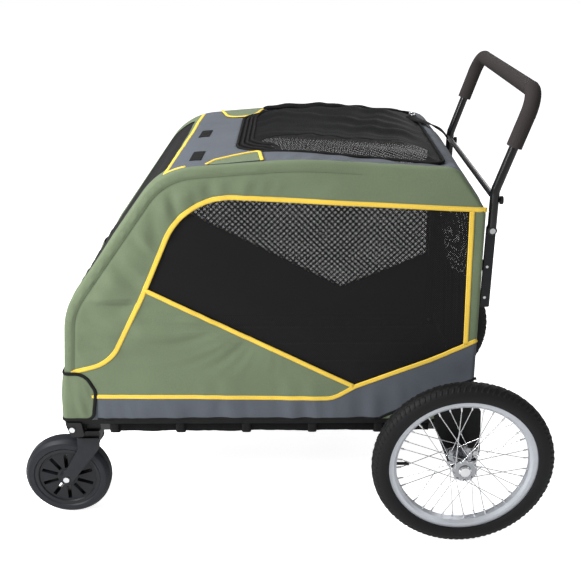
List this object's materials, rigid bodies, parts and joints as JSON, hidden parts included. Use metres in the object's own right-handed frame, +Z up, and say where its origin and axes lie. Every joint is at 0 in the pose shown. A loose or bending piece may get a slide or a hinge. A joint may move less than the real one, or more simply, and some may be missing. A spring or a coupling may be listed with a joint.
{
  "type": "pet stroller",
  "caption": "Folding pet stroller: tube frame, closed fabric and mesh cabin with a roof hatch, U handle, large spoked rear wheels and small swivelling front casters.",
  "frame": {"origin": "On the ground in the middle of the outer box: halfway between the front edge of the casters and the rear edge of the rear tyres, and halfway between the outer ends of the rear axle caps", "axes": "+X points to the stroller's back, along its longest extent, so -X is the way it rolls; +Y points to the stroller's right side, across the rear axle, its shortest extent; +Z is up"},
  "size_m": [1.204, 0.784, 1.0082],
  "materials": {
    "frame_paint": "satin",
    "nylon": "moulded",
    "zinc": "plated",
    "chrome": "polished",
    "rim_alloy": "silver",
    "fork_grey": "satin",
    "black_fabric": "woven polyester",
    "green_fabric": "woven polyester",
    "grey_fabric": "woven polyester",
    "yellow_tape": "grosgrain tape",
    "mesh": "mesh",
    "mat_fabric": "padded",
    "board": "board",
    "foam": "foam",
    "tyre_rubber": "tread",
    "inner_rubber": "smooth",
    "caster_grey": "moulded"
  },
  "bodies": {
    "chassis": {"base_rail_left": "frame_paint", "base_rail_right": "frame_paint", "base_front_crossbar": "frame_paint", "base_rear_crossbar": "frame_paint", "floor_board": "board", "floor_mat": "mat_fabric", "base_skirt": "black_fabric", "webbing_loops": "black_fabric", "corner_bracket_left": "nylon", "corner_bracket_right": "nylon", "hoop_pins": "zinc", "rear_hinge_brackets": "frame_paint", "rear_hinge_pins": "zinc", "leg_bracket_left": "frame_paint", "leg_bracket_right": "frame_paint", "leg_bolts": "zinc", "rear_axle": "frame_paint", "axle_caps": "chrome", "side_panel_left": "green_fabric", "side_panel_right": "green_fabric", "side_mesh_left": "mesh", "side_mesh_right": "mesh", "side_trim_left": "yellow_tape", "side_trim_right": "yellow_tape", "front_panel": "green_fabric", "front_mesh": "mesh", "roof_panel": "grey_fabric", "roof_hatch": "black_fabric", "hatch_roll": "black_fabric", "rear_panel": "green_fabric", "corner_patches": "green_fabric"},
    "front_hoop_body": {"front_hoop": "frame_paint"},
    "rear_frame": {"rear_bow": "frame_paint", "handle_posts": "fork_grey", "post_bolts": "zinc", "handle_rivets": "zinc"},
    "handle": {"handle_tube": "frame_paint", "handle_grip": "foam", "handle_crossbar": "frame_paint"},
    "knob_left_body": {"knob_left": "nylon"},
    "knob_right_body": {"knob_right": "nylon"},
    "caster_left": {"caster_fork_left": "fork_grey", "caster_bolt_left": "zinc"},
    "caster_roller_left": {"caster_wheel_left": "caster_grey", "caster_tyre_left": "tyre_rubber"},
    "rear_wheel_left": {"rear_hub_left": "chrome", "rear_rim_left": "rim_alloy", "rear_spokes_left": "chrome", "rear_tyre_left": "tyre_rubber", "inner_tube_left": "inner_rubber"},
    "caster_right": {"caster_fork_right": "fork_grey", "caster_bolt_right": "zinc"},
    "caster_roller_right": {"caster_wheel_right": "caster_grey", "caster_tyre_right": "tyre_rubber"},
    "rear_wheel_right": {"rear_hub_right": "chrome", "rear_rim_right": "rim_alloy", "rear_spokes_right": "chrome", "rear_tyre_right": "tyre_rubber", "inner_tube_right": "inner_rubber"}
  },
  "joints": [
    {"name": "frame_fold", "type": "hinge", "parent": "chassis", "child": "rear_frame", "pos_m": [0.409, 0, 0.275], "axis": [0, -1, 0], "range_deg": [0, 70], "deforming": ["side_panel_left", "side_panel_right", "side_mesh_left", "side_mesh_right", "side_trim_left", "side_trim_right", "front_panel", "front_mesh", "roof_panel", "roof_hatch", "hatch_roll", "rear_panel"]},
    {"name": "hoop_fold", "type": "hinge", "parent": "chassis", "child": "front_hoop_body", "pos_m": [-0.47, 0, 0.246], "axis": [0, 1, 0], "range_deg": [0, 60]},
    {"name": "handle_fold", "type": "hinge", "parent": "rear_frame", "child": "handle", "pos_m": [0.4405, 0, 0.713], "axis": [0, 1, 0], "range_deg": [0, 150]},
    {"name": "knob_turn_left", "type": "hinge", "parent": "handle", "child": "knob_left_body", "pos_m": [0.4405, -0.268, 0.776], "axis": [1, 0, 0], "continuous": true},
    {"name": "knob_turn_right", "type": "hinge", "parent": "handle", "child": "knob_right_body", "pos_m": [0.4405, 0.268, 0.776], "axis": [1, 0, 0], "continuous": true},
    {"name": "caster_swivel_left", "type": "hinge", "parent": "chassis", "child": "caster_left", "pos_m": [-0.44, -0.241, 0.214], "axis": [0, 0, 1], "continuous": true},
    {"name": "caster_spin_left", "type": "hinge", "parent": "caster_left", "child": "caster_roller_left", "pos_m": [-0.502, -0.241, 0.1], "axis": [0, 1, 0], "continuous": true},
    {"name": "rear_spin_left", "type": "hinge", "parent": "chassis", "child": "rear_wheel_left", "pos_m": [0.402, -0.355, 0.2], "axis": [0, 1, 0], "continuous": true},
    {"name": "caster_swivel_right", "type": "hinge", "parent": "chassis", "child": "caster_right", "pos_m": [-0.44, 0.241, 0.214], "axis": [0, 0, 1], "continuous": true},
    {"name": "caster_spin_right", "type": "hinge", "parent": "caster_right", "child": "caster_roller_right", "pos_m": [-0.502, 0.241, 0.1], "axis": [0, 1, 0], "continuous": true},
    {"name": "rear_spin_right", "type": "hinge", "parent": "chassis", "child": "rear_wheel_right", "pos_m": [0.402, 0.355, 0.2], "axis": [0, 1, 0], "continuous": true}
  ],
  "couplings": [
    {"joint": "hoop_fold", "follows": "frame_fold", "ratio": 0.85714}
  ]
}
